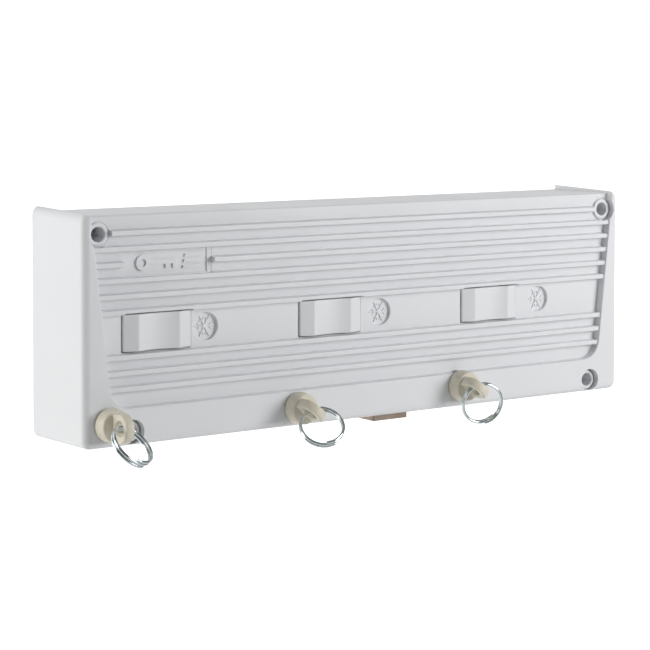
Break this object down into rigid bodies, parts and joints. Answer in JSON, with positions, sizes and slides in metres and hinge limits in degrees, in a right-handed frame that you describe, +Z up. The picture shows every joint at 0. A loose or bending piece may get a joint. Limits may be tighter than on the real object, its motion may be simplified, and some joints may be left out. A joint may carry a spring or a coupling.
{
  "type": "key cabinet",
  "caption": "Wall-mounted key cabinet: a long white shell with a ribbed front, push buttons, and pull-out plugs that carry split key rings.",
  "frame": {"origin": "centre of the flat rear face, on the wall plane", "axes": "+X along the cabinet to the right as seen from the front, +Y into the wall, +Z up"},
  "size_m": [0.33, 0.0781, 0.1166],
  "materials": {
    "cover_white": "fine moulded satin, cool white",
    "button_white": "smooth moulded satin, cool white",
    "inner_grey": "moulded, mid grey",
    "plug_ivory": "moulded satin, warm ivory",
    "ring_steel": "bright zinc-plated wire",
    "bright_steel": "plain bright steel",
    "core_brass": "turned",
    "catch_bronze": "dark bronze coating"
  },
  "bodies": {
    "housing": {"front_cover": "cover_white", "back_plate": "inner_grey", "bottom_catch": "catch_bronze", "cover_screw_1": "bright_steel", "cover_screw_2": "bright_steel", "cover_screw_3": "bright_steel", "cover_screw_4": "bright_steel", "socket_bush_1": "inner_grey", "latch_leaf_1": "bright_steel", "leaf_screw_1": "bright_steel", "button_spring_1": "bright_steel", "socket_bush_2": "inner_grey", "latch_leaf_2": "bright_steel", "leaf_screw_2": "bright_steel", "button_spring_2": "bright_steel", "socket_bush_3": "inner_grey", "latch_leaf_3": "bright_steel", "leaf_screw_3": "bright_steel", "button_spring_3": "bright_steel"},
    "button_1": {"button_1": "button_white"},
    "core_1": {"lock_core_1": "core_brass"},
    "plug_1": {"key_plug_1": "plug_ivory"},
    "ring_1": {"split_ring_1": "ring_steel"},
    "button_2": {"button_2": "button_white"},
    "core_2": {"lock_core_2": "core_brass"},
    "plug_2": {"key_plug_2": "plug_ivory"},
    "ring_2": {"split_ring_2": "ring_steel"},
    "button_3": {"button_3": "button_white"},
    "core_3": {"lock_core_3": "core_brass"},
    "plug_3": {"key_plug_3": "plug_ivory"},
    "ring_3": {"split_ring_3": "ring_steel"}
  },
  "joints": [
    {"name": "button_1_press", "type": "slide", "parent": "housing", "child": "button_1", "axis": [0, 1, 0], "range_m": [0, 0.003], "stiffness_N_per_m": 300, "springref_m": -0.002, "deforming": ["button_spring_1", "latch_leaf_1"]},
    {"name": "core_1_turn", "type": "hinge", "parent": "housing", "child": "core_1", "pos_m": [-0.1512, -0.048, -0.0433], "axis": [0, 1, 0], "range_deg": [-50, 40]},
    {"name": "plug_1_pull", "type": "slide", "parent": "core_1", "child": "plug_1", "axis": [0, -1, 0], "range_m": [0, 0.034]},
    {"name": "ring_1_swing", "type": "hinge", "parent": "plug_1", "child": "ring_1", "pos_m": [-0.1512, -0.0608, -0.0433], "axis": [-1, 0, 0], "range_deg": [-55, 60]},
    {"name": "button_2_press", "type": "slide", "parent": "housing", "child": "button_2", "axis": [0, 1, 0], "range_m": [0, 0.003], "stiffness_N_per_m": 300, "springref_m": -0.002, "deforming": ["button_spring_2", "latch_leaf_2"]},
    {"name": "core_2_turn", "type": "hinge", "parent": "housing", "child": "core_2", "pos_m": [-0.047, -0.048, -0.0452], "axis": [0, 1, 0], "range_deg": [-2, 88]},
    {"name": "plug_2_pull", "type": "slide", "parent": "core_2", "child": "plug_2", "axis": [0, -1, 0], "range_m": [0, 0.034]},
    {"name": "ring_2_swing", "type": "hinge", "parent": "plug_2", "child": "ring_2", "pos_m": [-0.047, -0.0608, -0.0452], "axis": [-0.6691, 0, -0.7431], "range_deg": [-55, 60]},
    {"name": "button_3_press", "type": "slide", "parent": "housing", "child": "button_3", "axis": [0, 1, 0], "range_m": [0, 0.003], "stiffness_N_per_m": 300, "springref_m": -0.002, "deforming": ["button_spring_3", "latch_leaf_3"]},
    {"name": "core_3_turn", "type": "hinge", "parent": "housing", "child": "core_3", "pos_m": [0.0544, -0.048, -0.0431], "axis": [0, 1, 0], "range_deg": [-2, 88]},
    {"name": "plug_3_pull", "type": "slide", "parent": "core_3", "child": "plug_3", "axis": [0, -1, 0], "range_m": [0, 0.034]},
    {"name": "ring_3_swing", "type": "hinge", "parent": "plug_3", "child": "ring_3", "pos_m": [0.0544, -0.0608, -0.0431], "axis": [-0.6691, 0, -0.7431], "range_deg": [-32, 60]}
  ]
}
